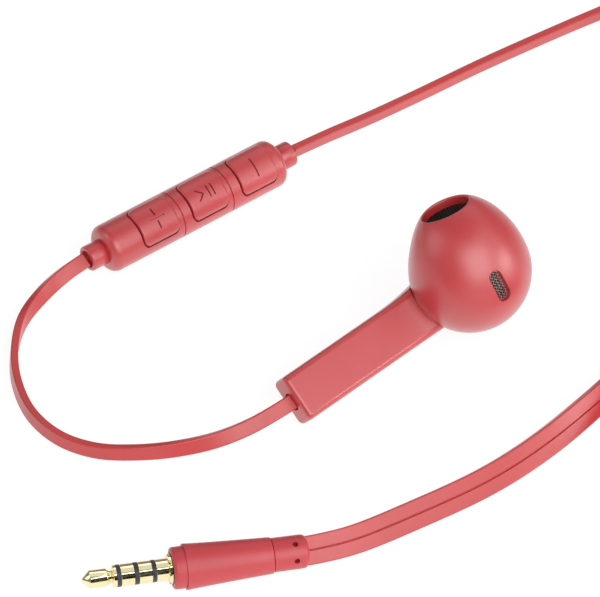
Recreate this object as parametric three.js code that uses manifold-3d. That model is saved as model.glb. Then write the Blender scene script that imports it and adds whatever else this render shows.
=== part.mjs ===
// Wired earphones: a pair of earbuds with flat stems, an in-line remote with three buttons, a cable
// splitter and a gold four-pole plug, joined by flat ribbon cable that lies on a table.
// Millimetres, +Z up, +X from the right earbud towards the left one, the table top at z = 0.
// The routes are written from the middle of the laid-out scene; ORIGIN moves the finished group so
// that the row's origin lies on the table in the middle of the two earbuds.

import * as THREE from 'three';
import { mergeVertices } from 'three/addons/utils/BufferGeometryUtils.js';
import Module from 'manifold-3d';

const wasm = await Module();
wasm.setup();

// ---------------------------------------------------------------- driving dimensions

const ORIGIN = [63.7, 20.893, 0];
const GAP = 0.1;
const degrees = Math.PI / 180;

const HEAD = {
  radius: 10, back: 10, frontLong: 12.84, frontShort: 12.1, rimAt: 11.4, hollowFront: 7.2, wall: 1.4,
};
const HEAD_CENTRE = [-1.4, 36.8, 6.3];
const NOZZLE_AXIS = new THREE.Vector3(-0.888, -0.072, 0.464).normalize();
const NOZZLE_LONG_WAY = new THREE.Vector3(0.155, 0.892, 0.419);
const NOZZLE = { long: 4, short: 2.75, depth: 1.5, ledge: 0.6, mesh: 0.3 };
const VENT = { length: 5.8, width: 2.3, depth: 1, ledge: 0.4, mesh: 0.3, turn: 15 * degrees };
const STEM = { width: 8, thick: 4.4, edge: 1, straight: 21, length: 34 };
const NECK = { width: 10, thick: 7.6, corner: 3.4, shiftX: -0.9, shiftZ: 1.6 };
const DRIVER = { radius: 6, depth: 4, magnet: 3.2, coil: 3.9 };
const EARBUD_TURN = { yaw: -46.1 * degrees, roll: 36.9 * degrees };
const RIGHT_STEM_END = [-1.3, -27.2, 4.085];
const LEFT_STEM_END = [128.7, 37.9, 4.085];

const RIBBON = { width: 2.5, thick: 1.25 };
const DOUBLE_RIBBON = { width: 4.6, thick: 1.25 };
const GLAND = { width: 3.4, thick: 2, depth: 5 };
const CABLE_DUCT = { width: 2.6, thick: 1.4 };

const REMOTE = { radius: 4.05, length: 35.2, edge: 1.5, bore: 3 };
const REMOTE_CENTRE = [-18, 17.3, 4.07];
const REMOTE_TURN = { yaw: 37.2 * degrees, roll: 31 * degrees };
const BUTTON = {
  first: -8.3, pitch: 9.9, length: 7, halfWidth: 3.3, corner: 0.9, proud: 0.35, under: 3.35, low: 1.9,
};
const BUTTON_NAMES = ['volume_up', 'play_pause', 'volume_down'];
const BUTTON_GAP = 0.15;
const COLLAR = { radius: 2.15, length: 3, mouth: 1.6, mouthDepth: 1 };
const BOARD = { length: 31, width: 4.4, thick: 0.6, top: 0 };
const SWITCH = { size: 2.8, height: 0.9, plunger: 0.8 };

const PIN = { radius: 1.75, core: 0.5, bore: 0.6, shank: 9 };
const PLUG_SHOULDER = [-19.8, -62.4, 3.66];
const PLUG_TURN = { yaw: 12.4 * degrees, pitch: 2.4 * degrees, roll: 45 * degrees };
const PLUG_BODY = { front: 3.3, collar: 2, gripEnd: 15.8, end: 21.4, rear: 2.65 };

const SPLITTER = { length: 14, height: 6.4, thick: 3.6, wall: 0.9, edge: 1 };
const SPLITTER_CENTRE = [108.7, -5.2, 3.22];

const TIE = { thick: 0.4, width: 3 };
const EYE_MARGIN = 1;
const COIL_FLOOR = TIE.thick + GAP;

// ---------------------------------------------------------------- colours and finishes

const plastic = (color, roughness) => new THREE.MeshStandardMaterial({ color, roughness, metalness: 0 });
const metal = (color, roughness) => new THREE.MeshStandardMaterial({ color, roughness, metalness: 1 });
const CORAL = plastic(0xc8494b, 0.45);
const CORAL_SOFT = plastic(0xc9504f, 0.6);
const DARK_RUBBER = plastic(0x6e2226, 0.8);
const BLACK = plastic(0x17171a, 0.5);
const BOARD_GREEN = plastic(0x1f5a37, 0.6);
const GOLD = metal(0xe9cf7c, 0.22);
const STEEL = metal(0x9b9893, 0.4);
const COPPER = metal(0xb86b3c, 0.35);
const FILM = plastic(0xd8d4c8, 0.35);
const FOAM = plastic(0x3a3a3d, 0.95);

// ---------------------------------------------------------------- solids

// A closed geometry as a manifold solid, its shared vertices merged.
function toSolid(geometry) {
  const bare = geometry.clone();
  bare.deleteAttribute('normal');
  bare.deleteAttribute('uv');
  const merged = mergeVertices(bare, 1e-4);
  return new wasm.Manifold(new wasm.Mesh({
    numProp: 3,
    vertProperties: merged.attributes.position.array,
    triVerts: Uint32Array.from(merged.index.array),
  }));
}

function toGeometry(solid) {
  const mesh = solid.getMesh();
  const geometry = new THREE.BufferGeometry();
  geometry.setAttribute('position', new THREE.BufferAttribute(Float32Array.from(mesh.vertProperties), 3));
  geometry.setIndex(Array.from(mesh.triVerts));
  geometry.computeVertexNormals();
  return geometry;
}

function piece(name, solid, material) {
  const mesh = new THREE.Mesh(toGeometry(solid), material);
  mesh.name = name;
  return mesh;
}

// Rings of points, one above the other along +Y, skinned and closed with a fan at each end.
function loft(rings) {
  const count = rings[0].length;
  const points = rings.flat();
  const centre = (ring) => ring.reduce((sum, p) => sum.add(p), new THREE.Vector3()).divideScalar(count);
  const first = points.length;
  const last = first + 1;
  points.push(centre(rings[0]), centre(rings.at(-1)));
  const faces = [];
  for (let i = 0; i < rings.length - 1; i += 1) {
    for (let j = 0; j < count; j += 1) {
      const a = i * count + j;
      const b = i * count + ((j + 1) % count);
      faces.push(a, b + count, b, a, a + count, b + count);
    }
  }
  const top = (rings.length - 1) * count;
  for (let j = 0; j < count; j += 1) {
    const k = (j + 1) % count;
    faces.push(first, j, k, last, top + k, top + j);
  }
  const geometry = new THREE.BufferGeometry().setFromPoints(points);
  geometry.setIndex(faces);
  return toSolid(geometry);
}

function ovalRing(y, rx, rz, count = 24) {
  const ring = [];
  for (let i = 0; i < count; i += 1) {
    const t = (i / count) * 2 * Math.PI;
    ring.push(new THREE.Vector3(rx * Math.cos(t), y, rz * Math.sin(t)));
  }
  return ring;
}

// A rounded rectangle in the plane y = const, three points to each corner.
function barRing(y, width, thick, corner, cx = 0, cz = 0) {
  const ring = [];
  for (let quarter = 0; quarter < 4; quarter += 1) {
    const sx = quarter === 0 || quarter === 3 ? 1 : -1;
    const sz = quarter < 2 ? 1 : -1;
    for (let step = 0; step < 3; step += 1) {
      const t = (quarter + step / 2) * (Math.PI / 2);
      const x = cx + sx * (width / 2 - corner) + corner * Math.cos(t);
      const z = cz + sz * (thick / 2 - corner) + corner * Math.sin(t);
      ring.push(new THREE.Vector3(x, y, z));
    }
  }
  return ring;
}

// A turned part about +Y, from its [radius, height] outline.
function turned(outline, segments = 18) {
  const points = outline.map(([r, y]) => new THREE.Vector2(r, y));
  return toSolid(new THREE.LatheGeometry(points, segments));
}

// A washer or tube about +Y; its outline closes on itself.
function ringSolid(inner, outer, low, high, segments = 18) {
  return turned([[inner, low], [outer, low], [outer, high], [inner, high], [inner, low]], segments);
}

function rodSolid(radius, low, high, segments = 18) {
  return turned([[0, low], [radius, low], [radius, high], [0, high]], segments);
}

function blockSolid(sx, sy, sz, x = 0, y = 0, z = 0) {
  return toSolid(new THREE.BoxGeometry(sx, sy, sz).translate(x, y, z));
}

// A pill or rounded plate in the XY plane, from z = 0 up.
function plateSolid(width, length, corner, height) {
  const shape = new THREE.Shape();
  const x = width / 2 - corner;
  const y = length / 2 - corner;
  shape.absarc(x, y, corner, 0, Math.PI / 2);
  shape.absarc(-x, y, corner, Math.PI / 2, Math.PI);
  shape.absarc(-x, -y, corner, Math.PI, 1.5 * Math.PI);
  shape.absarc(x, -y, corner, 1.5 * Math.PI, 2 * Math.PI);
  const settings = { depth: height, bevelEnabled: false, curveSegments: 3 };
  return toSolid(new THREE.ExtrudeGeometry(shape, settings));
}

function placed(solid, matrix) {
  return solid.transform(matrix.toArray());
}

// Turns a part made about +Y so that it runs along +X.
const ALONG_X = new THREE.Matrix4().makeRotationZ(-Math.PI / 2);

// ---------------------------------------------------------------- earbud

// The head's own axes inside the earbud: +Y out through the nozzle, +X along the nozzle's long way.
const headX = NOZZLE_LONG_WAY.clone().addScaledVector(NOZZLE_AXIS, -NOZZLE_LONG_WAY.dot(NOZZLE_AXIS));
headX.normalize();
const headZ = new THREE.Vector3().crossVectors(headX, NOZZLE_AXIS);
const HEAD_PLACE = new THREE.Matrix4().makeBasis(headX, NOZZLE_AXIS, headZ).setPosition(...HEAD_CENTRE);

// The egg: a half ball behind, two longer half ellipses in front, all moved out by `grow`.
function egg(grow, front) {
  const rings = [];
  const backSteps = 5;
  for (let i = 0; i <= backSteps; i += 1) {
    const t = (-86 + (86 * i) / backSteps) * degrees;
    const r = (HEAD.radius + grow) * Math.cos(t);
    rings.push(ovalRing((HEAD.back + grow) * Math.sin(t), r, r));
  }
  const frontSteps = 4;
  for (let i = 1; i <= frontSteps; i += 1) {
    const y = (front * Math.sin((i / frontSteps) * (Math.PI / 2) * 0.9)) / Math.sin(0.9 * (Math.PI / 2));
    const rx = (HEAD.radius + grow) * Math.sqrt(1 - (y / (HEAD.frontLong + grow)) ** 2);
    const rz = (HEAD.radius + grow) * Math.sqrt(1 - (y / (HEAD.frontShort + grow)) ** 2);
    rings.push(ovalRing(y, rx, rz));
  }
  return loft(rings);
}

function ovalRod(long, short, low, high) {
  return loft([ovalRing(low, long, short), ovalRing(high, long, short)]);
}

// The vent lies on the head's widest line, its long way along the nozzle's axis.
function ventCut(width, length, inner, outer) {
  const pill = plateSolid(width, length, width / 2 - 0.01, outer - inner);
  const matrix = new THREE.Matrix4().makeRotationY(VENT.turn);
  matrix.multiply(new THREE.Matrix4().makeTranslation(0, 0, inner));
  return placed(pill, matrix);
}

function cableDuct(from, to) {
  return blockSolid(CABLE_DUCT.width, to - from, CABLE_DUCT.thick, 0, (from + to) / 2, 0);
}

function headShell() {
  const ledgeAt = HEAD.rimAt - NOZZLE.depth;
  const ledge = NOZZLE.ledge;
  const ventFloor = HEAD.radius - VENT.depth;
  const ventWidth = VENT.width - 2 * VENT.ledge;
  const ventLength = VENT.length - 2 * VENT.ledge;
  const solid = egg(0, HEAD.rimAt)
    .subtract(egg(-HEAD.wall, HEAD.hollowFront))
    .subtract(ovalRod(NOZZLE.long, NOZZLE.short, ledgeAt, HEAD.rimAt + 1))
    .subtract(ovalRod(NOZZLE.long - ledge, NOZZLE.short - ledge, HEAD.hollowFront - 1, ledgeAt + 1))
    .subtract(ventCut(VENT.width, VENT.length, ventFloor, HEAD.radius + 2))
    .subtract(ventCut(ventWidth, ventLength, ventFloor - 2, ventFloor + 1));
  return placed(solid, HEAD_PLACE).subtract(cableDuct(26, 34));
}

function stemShell() {
  const { width, thick, edge, straight, length } = STEM;
  const rings = [
    barRing(0, width - 1.2, thick - 1.2, edge * 0.7),
    barRing(0.25, width - 0.4, thick - 0.4, edge * 0.9),
    barRing(0.8, width, thick, edge),
  ];
  const steps = 5;
  for (let i = 0; i <= steps; i += 1) {
    const t = i / steps;
    const flare = t * t * t;
    const y = straight + (length - straight) * t;
    const neckWidth = width + (NECK.width - width) * flare;
    const neckThick = thick + (NECK.thick - thick) * flare;
    const corner = edge + (NECK.corner - edge) * flare;
    rings.push(barRing(y, neckWidth, neckThick, corner, NECK.shiftX * flare, NECK.shiftZ * flare));
  }
  const slot = plateSolid(GLAND.width + 2 * GAP, GLAND.thick + 2 * GAP, 0.8, GLAND.depth + GAP + 1);
  const slotPlace = new THREE.Matrix4().makeRotationX(-Math.PI / 2).setPosition(0, -1, 0);
  return loft(rings)
    .subtract(placed(egg(GAP, HEAD.rimAt), HEAD_PLACE))
    .subtract(placed(slot, slotPlace))
    .subtract(cableDuct(GLAND.depth - 1, length + 1));
}

function cableGland() {
  const body = plateSolid(GLAND.width, GLAND.thick, 0.75, GLAND.depth);
  return placed(body, new THREE.Matrix4().makeRotationX(-Math.PI / 2));
}

// The speaker, front to back along the nozzle's axis: film, voice coil, magnet in its yoke, frame.
function driverPieces() {
  const { radius, depth, magnet, coil } = DRIVER;
  const basket = ringSolid(coil + 1.1, radius, -0.5, depth);
  const frame = basket.add(ringSolid(coil + 1.1, radius + 1.2, depth - 1, depth));
  const yoke = turned([
    [0, -1.5], [coil + 1, -1.5], [coil + 1, 1.9], [coil + 0.3, 1.9], [coil + 0.3, -0.6], [0, -0.6],
  ]);
  return [
    ['driver_frame', frame, BLACK],
    ['driver_yoke', yoke, STEEL],
    ['driver_magnet', rodSolid(magnet, -0.5, 1.8), STEEL],
    ['voice_coil', ringSolid(magnet + 0.2, coil + 0.1, 0.2, depth + 0.05), COPPER],
    ['diaphragm', rodSolid(radius - 0.3, depth + 0.15, depth + 0.35), FILM],
    ['damping_pad', rodSolid(3.2, -4.2, -1.7), FOAM],
  ];
}

function earbud(side) {
  const group = new THREE.Group();
  const nozzleMesh = ovalRod(NOZZLE.long - GAP, NOZZLE.short - GAP, 0, NOZZLE.mesh)
    .translate([0, HEAD.rimAt - NOZZLE.depth + 0.05, 0]);
  const ventFloor = HEAD.radius - VENT.depth + 0.05;
  const ventMesh = ventCut(VENT.width - 2 * GAP, VENT.length - 2 * GAP, ventFloor, ventFloor + VENT.mesh);
  group.add(piece(`${side}_head_shell`, headShell(), CORAL));
  group.add(piece(`${side}_stem_shell`, stemShell(), CORAL));
  group.add(piece(`${side}_cable_gland`, cableGland(), DARK_RUBBER));
  group.add(piece(`${side}_nozzle_mesh`, placed(nozzleMesh, HEAD_PLACE), STEEL));
  group.add(piece(`${side}_vent_mesh`, placed(ventMesh, HEAD_PLACE), STEEL));
  for (const [name, solid, material] of driverPieces()) {
    group.add(piece(`${side}_${name}`, placed(solid, HEAD_PLACE), material));
  }
  return group;
}

function rightEarbud() {
  const group = earbud('right');
  group.position.set(...RIGHT_STEM_END);
  group.rotation.set(0, EARBUD_TURN.roll, EARBUD_TURN.yaw, 'ZYX');
  return group;
}

// The left earbud is the right one's mirror image and lies turned the other way.
function leftEarbud() {
  const inner = earbud('left');
  inner.rotation.set(0, EARBUD_TURN.roll, EARBUD_TURN.yaw, 'ZYX');
  const group = new THREE.Group();
  group.add(inner);
  group.scale.set(-1, 1, 1);
  group.position.set(...LEFT_STEM_END);
  return group;
}

// ---------------------------------------------------------------- remote

const buttonCentre = (i) => BUTTON.first + i * BUTTON.pitch;

// The remote's two half shells: a capped tube about +X, split on its own horizontal plane.
function remoteShell() {
  const { radius, length, edge, bore } = REMOTE;
  const half = length / 2;
  const corner = edge * (1 - Math.SQRT1_2);
  const outer = turned([
    [0, -half], [radius - edge, -half], [radius - corner, -half + corner], [radius, -half + edge],
    [radius, half - edge], [radius - corner, half - corner], [radius - edge, half], [0, half],
  ], 24);
  const cavity = rodSolid(bore, -half + 1.4, half - 1.4, 24);
  const endBore = rodSolid(COLLAR.radius - 0.65 + GAP, -half - 1, half + 1);
  return placed(outer.subtract(cavity).subtract(endBore), ALONG_X);
}

function remoteHalf(up) {
  const { length, radius } = REMOTE;
  const tall = radius + 1;
  const keep = blockSolid(length + 2, 2 * tall, tall, 0, 0, (up * (tall + GAP)) / 2);
  let half = remoteShell().intersect(keep);
  if (up > 0) {
    for (let i = 0; i < BUTTON_NAMES.length; i += 1) {
      const clear = 2 * BUTTON_GAP;
      const hole = plateSolid(BUTTON.length + clear, 2 * BUTTON.halfWidth + clear, 1, radius);
      half = half.subtract(hole.translate([buttonCentre(i), 0, BUTTON.low - 0.45]));
    }
  }
  return half;
}

// A button cap: a slice of tube wall with upright sides, and a peg that presses the switch.
function buttonCap(i) {
  const { length, halfWidth, corner, proud, under, low } = BUTTON;
  const wall = placed(ringSolid(under, REMOTE.radius + proud, -length, length, 24), ALONG_X);
  const tall = REMOTE.radius + proud + 1 - low;
  const outline = plateSolid(length, 2 * halfWidth, corner, tall).translate([0, 0, low]);
  const peg = placed(
    rodSolid(SWITCH.plunger, BOARD.top + GAP + SWITCH.height + 0.4, under + 0.3, 12),
    new THREE.Matrix4().makeRotationX(Math.PI / 2),
  );
  return wall.intersect(outline).add(peg).translate([buttonCentre(i), 0, 0]);
}

function collar(side) {
  const { radius, length, mouth, mouthDepth } = COLLAR;
  const start = REMOTE.length / 2;
  const neck = radius - 0.65;
  const outline = [
    [0, start - 1.2], [neck, start - 1.2], [neck, start + GAP], [radius, start + GAP],
    [radius, start + length - 0.3], [radius - 0.3, start + length], [mouth, start + length],
    [mouth, start + length - mouthDepth], [0, start + length - mouthDepth],
  ];
  const matrix = new THREE.Matrix4().makeRotationZ((-side * Math.PI) / 2);
  return placed(turned(outline), matrix);
}

function remote() {
  const group = new THREE.Group();
  group.add(piece('remote_upper_shell', remoteHalf(1), CORAL));
  group.add(piece('remote_lower_shell', remoteHalf(-1), CORAL));
  group.add(piece('remote_inlet_collar', collar(-1), CORAL));
  group.add(piece('remote_outlet_collar', collar(1), CORAL));
  const board = blockSolid(BOARD.length, BOARD.width, BOARD.thick, 0, 0, BOARD.top - BOARD.thick / 2);
  group.add(piece('remote_circuit_board', board, BOARD_GREEN));
  const { size, height } = SWITCH;
  BUTTON_NAMES.forEach((name, i) => {
    const body = blockSolid(size, size, height, buttonCentre(i), 0, BOARD.top + GAP + height / 2);
    group.add(piece(`switch_${name}`, body, BLACK));
    group.add(piece(`button_${name}`, buttonCap(i), CORAL));
  });
  const microphone = blockSolid(2.6, 1.8, 0.9, -13.6, 0, BOARD.top + GAP + 0.45);
  group.add(piece('remote_microphone', microphone, STEEL));
  group.position.set(...REMOTE_CENTRE);
  group.rotation.set(REMOTE_TURN.roll, 0, REMOTE_TURN.yaw, 'ZYX');
  return group;
}

// ---------------------------------------------------------------- plug

// Contacts and their insulators along the pin, from the tip to the shoulder at 0.
const PIN_STACK = [
  ['plug_insulator_1', -8.7, -8.05, BLACK],
  ['plug_ring_1', -8.05, -5.94, GOLD],
  ['plug_insulator_2', -5.94, -5.25, BLACK],
  ['plug_ring_2', -5.25, -3.15, GOLD],
  ['plug_insulator_3', -3.15, -2.5, BLACK],
];

function plugTip() {
  const { radius, core, shank } = PIN;
  return turned([
    [0, -14], [0.35, -14], [1.42, -12.9], [1.42, -10.2], [0.95, -9.75], [0.95, -9.5],
    [radius, -9.2], [radius, -8.7 - GAP / 2], [core, -8.7 - GAP / 2], [core, shank], [0, shank],
  ]);
}

function plugSleeve() {
  const { radius, bore, shank } = PIN;
  return turned([
    [bore, -2.5 + GAP / 2], [radius, -2.5 + GAP / 2], [radius, -0.55], [2.4, -0.55], [2.4, -GAP],
    [1.9, -GAP], [1.9, shank], [bore, shank], [bore, -2.5 + GAP / 2],
  ]);
}

// The grip is thicker across than front to back, and narrows towards the cable.
function plugBody() {
  const { front, collar: collarEnd, gripEnd } = PLUG_BODY;
  const rings = [
    ovalRing(0, front - 0.5, front - 0.5),
    ovalRing(0.4, front, front),
    ovalRing(collarEnd, front, front),
    ovalRing(collarEnd + 0.05, 3.63, front),
  ];
  const steps = 5;
  for (let i = 1; i <= steps; i += 1) {
    const t = i / steps;
    const y = collarEnd + (gripEnd - collarEnd) * t;
    rings.push(ovalRing(y, 3.63 - 0.78 * t ** 0.8, front - 0.62 * t ** 0.8));
  }
  return loft(rings).subtract(rodSolid(1.9 + GAP, -1, PIN.shank + GAP));
}

function plugStrainRelief() {
  const { gripEnd, end, rear } = PLUG_BODY;
  const outline = [
    [0, gripEnd + GAP], [rear + 0.05, gripEnd + GAP], [rear, end - 1], [rear - 0.35, end - 0.3],
    [rear - 1, end], [0, end],
  ];
  let solid = turned(outline);
  for (const side of [-1, 1]) {
    const hole = rodSolid(0.45, 1.6, 4, 10);
    const matrix = new THREE.Matrix4().makeRotationY(side * 30 * degrees);
    matrix.multiply(new THREE.Matrix4().makeRotationX(Math.PI / 2));
    matrix.premultiply(new THREE.Matrix4().makeTranslation(0, end - 2.1, 0));
    solid = solid.subtract(placed(hole, matrix));
  }
  return solid;
}

function plug() {
  const group = new THREE.Group();
  const add = (name, solid, material) => group.add(piece(name, placed(solid, ALONG_X), material));
  add('plug_tip', plugTip(), GOLD);
  for (const [name, low, high, material] of PIN_STACK) {
    add(name, ringSolid(PIN.bore, PIN.radius, low + GAP / 2, high - GAP / 2), material);
  }
  add('plug_sleeve', plugSleeve(), GOLD);
  add('plug_body', plugBody(), CORAL);
  add('plug_strain_relief', plugStrainRelief(), CORAL);
  group.position.set(...PLUG_SHOULDER);
  group.rotation.set(PLUG_TURN.roll, PLUG_TURN.pitch, PLUG_TURN.yaw, 'ZYX');
  return group;
}

// ---------------------------------------------------------------- splitter

// Two moulded halves, left and right of the cable. The joined ribbon enters from -Y on its edge, and
// its two halves leave towards +Y, one above the other.
function splitterHalf(side) {
  const { length, height, thick, wall, edge } = SPLITTER;
  const half = length / 2;
  const shell = loft([
    barRing(-half, thick - 0.8, height - 0.8, edge * 0.6),
    barRing(-half + 0.6, thick, height, edge),
    barRing(half - 0.6, thick, height, edge),
    barRing(half, thick - 0.8, height - 0.8, edge * 0.6),
  ]);
  const keep = blockSolid(thick, length + 2, height + 2, side * (thick / 2 + GAP / 2), 0, 0);
  const cavity = blockSolid(thick - 2 * wall, length - 2 * wall, height - 2 * wall);
  return shell.intersect(keep).subtract(cavity);
}

function splitter() {
  const group = new THREE.Group();
  group.add(piece('splitter_left_shell', splitterHalf(-1), CORAL));
  group.add(piece('splitter_right_shell', splitterHalf(1), CORAL));
  group.position.set(...SPLITTER_CENTRE);
  return group;
}

// ---------------------------------------------------------------- cable coils

// A coil is one spiral inside another, joined in the middle by an S bend, so both ends leave outside.
// `enter` and `leave` are the angles where the cable joins and leaves, in degrees.
const COILS = {
  main: {
    centre: [81, -27.5], core: 18.4, spacing: 2, enter: 140, turned: 715, leave: 0, cable: DOUBLE_RIBBON,
  },
  right: {
    centre: [67.5, 58.4], core: 10, spacing: 1.8, enter: 105, turned: 360, leave: 240, cable: RIBBON,
  },
  left: {
    centre: [127.5, 13.2], core: 10, spacing: 1.8, enter: 180, turned: 770, leave: 46, cable: RIBBON,
  },
};

// The angle where the inner end of the entering arm starts, and how far each arm turns, in degrees.
function coilArms({ enter, turned: first, leave }) {
  const inner = enter - first;
  const around = leave - inner - 180;
  const second = around + 360 * Math.round((first - around) / 360);
  return { inner, first, second };
}

function coilRadius({ core, spacing }, turn) {
  return core + (spacing * turn) / 180;
}

function coilPoint(coil, angle, radius) {
  const [x, y] = coil.centre;
  return [x + radius * Math.cos(angle * degrees), y + radius * Math.sin(angle * degrees)];
}

function coilEnds(coil) {
  const { first, second } = coilArms(coil);
  return {
    enter: coilPoint(coil, coil.enter, coilRadius(coil, first)),
    leave: coilPoint(coil, coil.leave, coilRadius(coil, second)),
    middle: COIL_FLOOR + coil.cable.width / 2,
  };
}

function coilOuter(coil) {
  const { first, second } = coilArms(coil);
  return coilRadius(coil, Math.max(first, second)) + coil.cable.thick / 2;
}

// The coil's outer shape: a disc with the two eyes of the S bend open.
function coilSolid(coil, channels) {
  const shape = new THREE.Shape();
  const { inner } = coilArms(coil);
  shape.absarc(...coil.centre, coilOuter(coil), 0, 2 * Math.PI);
  for (const angle of [inner, inner + 180]) {
    const eye = new THREE.Path();
    eye.absarc(...coilPoint(coil, angle, coil.core / 2), coil.core / 2 - EYE_MARGIN, 0, 2 * Math.PI, true);
    shape.holes.push(eye);
  }
  const settings = { depth: coil.cable.width, bevelEnabled: false, curveSegments: 15 };
  const disc = toSolid(new THREE.ExtrudeGeometry(shape, settings).translate(0, 0, COIL_FLOOR));
  return channels.reduce((solid, channel) => solid.subtract(channel), disc);
}

// A flat tie round the bundle, through the coil's second eye.
function tieSolid(coil) {
  const angle = coilArms(coil).inner + 180;
  const eye = coil.core / 2 - EYE_MARGIN;
  const low = coil.core / 2 + Math.sqrt(eye ** 2 - (TIE.width / 2) ** 2) - GAP;
  const high = coilOuter(coil) + GAP;
  const height = coil.cable.width + 2 * GAP;
  const { thick, width } = TIE;
  const tall = height + 2 * thick;
  const outer = blockSolid(high - low + 2 * thick, width, tall, 0, 0, tall / 2);
  const opening = blockSolid(high - low, width + 1, height, 0, 0, tall / 2);
  const matrix = new THREE.Matrix4().makeRotationZ(angle * degrees);
  matrix.setPosition(...coilPoint(coil, angle, (low + high) / 2), 0);
  return placed(outer.subtract(opening), matrix);
}

// ---------------------------------------------------------------- cable routes

const mainEnds = coilEnds(COILS.main);
const rightEnds = coilEnds(COILS.right);
const leftEnds = coilEnds(COILS.left);
const splitterTail = SPLITTER_CENTRE[1] - SPLITTER.length / 2;
const splitterNose = SPLITTER_CENTRE[1] + SPLITTER.length / 2;
const branchRise = RIBBON.width / 2 + 0.05;
const upperBranch = SPLITTER_CENTRE[2] + branchRise;
const lowerBranch = SPLITTER_CENTRE[2] - branchRise;

const ROUTES = {
  loop_cable: [
    [-1.6, -27.5, 4.1], [-4, -29.1, 3.6], [-8, -31, 2.4], [-13.5, -33.1, 1.5], [-19.9, -34.8, 1.3],
    [-26, -35.5, 1.3], [-32, -35.1, 1.3], [-37.6, -32.6, 1.3], [-42.2, -27.6, 1.3], [-44.9, -20.6, 1.3],
    [-45.6, -13.4, 1.3], [-44.4, -6.3, 1.5], [-41.2, -1.1, 2.35], [-37.9, 2.1, 3.4], [-34.65, 4.65, 4.05],
  ],
  right_cable_run: [
    [-1.35, 29.95, 4.05], [4.5, 34.7, 3.2], [11.5, 40.4, 1.9], [19.5, 46.4, 1.3], [30, 53.7, 1.3],
    [40, 60.2, 1.3], [49, 65.8, 1.3], [56.5, 69.8, 1.5], [...rightEnds.enter, rightEnds.middle],
  ],
  right_cable_lead: [
    [...rightEnds.leave, rightEnds.middle], [72, 37.8, 1.42], [82, 31.2, 1.38], [92, 23.8, 1.35],
    [100.6, 15.8, 2.6], [105.8, 9.2, 4.2], [108.2, 4.8, 4.55], [108.7, splitterNose + 0.3, upperBranch],
  ],
  left_cable_lead: [
    [108.7, splitterNose + 0.3, lowerBranch], [108.9, 6, 1.85], [...leftEnds.enter, leftEnds.middle],
  ],
  left_cable_end: [
    [...leftEnds.leave, leftEnds.middle], [136.2, 29.6, 2.2], [132.4, 33.7, 3.4], [129, 37.6, 4.1],
  ],
  main_cable_run: [
    [1.45, -57.7, 2.7], [8, -55.3, 2.4], [17.8, -49.9, 2.35], [29.3, -42.6, 2.35], [38, -35.1, 2.35],
    [46.4, -25.9, 2.35], [53.4, -17.4, 2.4], [...mainEnds.enter, mainEnds.middle],
  ],
  main_cable_lead: [
    [...mainEnds.leave, mainEnds.middle], [108.8, -19.8, 3], [108.7, splitterTail - 0.3, SPLITTER_CENTRE[2]],
  ],
};

const CABLE_OF = { main_cable_run: DOUBLE_RIBBON, main_cable_lead: DOUBLE_RIBBON };

// A plain ribbon along its route, on its edge, `grow` larger all round.
function ribbon(points, cable, grow = 0) {
  const curve = new THREE.CatmullRomCurve3(points.map((p) => new THREE.Vector3(...p)));
  const steps = Math.max(3, Math.round(curve.getLength() / (cable.width * 2)));
  const w = cable.width / 2 + grow;
  const t = cable.thick / 2 + grow;
  const chamfer = 0.3;
  const section = new THREE.Shape([
    [w, -t + chamfer], [w, t - chamfer], [w - chamfer, t], [-w + chamfer, t],
    [-w, t - chamfer], [-w, -t + chamfer], [-w + chamfer, -t], [w - chamfer, -t],
  ].map(([x, y]) => new THREE.Vector2(x, y)));
  return toSolid(new THREE.ExtrudeGeometry(section, { steps, extrudePath: curve, bevelEnabled: false }));
}

function cables() {
  const group = new THREE.Group();
  const channels = {};
  for (const [name, points] of Object.entries(ROUTES)) {
    const cable = CABLE_OF[name] ?? RIBBON;
    group.add(piece(name, ribbon(points, cable), CORAL_SOFT));
    channels[name] = ribbon(points, cable, 0.3);
  }
  const beside = {
    main: [channels.main_cable_run, channels.main_cable_lead],
    right: [channels.right_cable_run, channels.right_cable_lead],
    left: [channels.left_cable_lead, channels.left_cable_end],
  };
  for (const [name, coil] of Object.entries(COILS)) {
    group.add(piece(`${name}_cable_coil`, coilSolid(coil, beside[name]), CORAL_SOFT));
    group.add(piece(`${name}_coil_tie`, tieSolid(coil), BLACK));
  }
  return group;
}

// ---------------------------------------------------------------- the whole object

const earphones = new THREE.Group();
earphones.name = 'wired_earphones';
earphones.add(rightEarbud(), leftEarbud(), remote(), plug(), splitter(), cables());
earphones.position.set(...ORIGIN).negate();
earphones.updateMatrixWorld(true);

export default earphones;
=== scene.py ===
"""Looks for the wired earphones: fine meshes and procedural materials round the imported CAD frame.

Local meshes are written in millimetres in each part's own frame and placed by a matrix in metres.
"""

from math import cos, dist, hypot, pi, radians as rad, sin, sqrt

import bpy
import numpy as np
from mathutils import Matrix, Vector


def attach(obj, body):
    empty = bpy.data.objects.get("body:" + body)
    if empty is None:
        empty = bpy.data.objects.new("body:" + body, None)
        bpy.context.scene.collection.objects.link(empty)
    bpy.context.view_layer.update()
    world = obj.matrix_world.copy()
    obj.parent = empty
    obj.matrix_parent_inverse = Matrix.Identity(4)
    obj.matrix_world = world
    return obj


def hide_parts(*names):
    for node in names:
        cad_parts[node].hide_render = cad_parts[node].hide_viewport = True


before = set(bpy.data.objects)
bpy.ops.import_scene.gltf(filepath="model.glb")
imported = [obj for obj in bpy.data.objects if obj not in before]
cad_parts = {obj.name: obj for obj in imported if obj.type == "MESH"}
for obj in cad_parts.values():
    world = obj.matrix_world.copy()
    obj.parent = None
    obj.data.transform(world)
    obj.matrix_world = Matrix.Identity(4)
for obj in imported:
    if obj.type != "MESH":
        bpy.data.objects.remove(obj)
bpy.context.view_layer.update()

MM = 0.001
BODY = "earphones"
ORIGIN = Vector((63.7, 20.893, 0))


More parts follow.
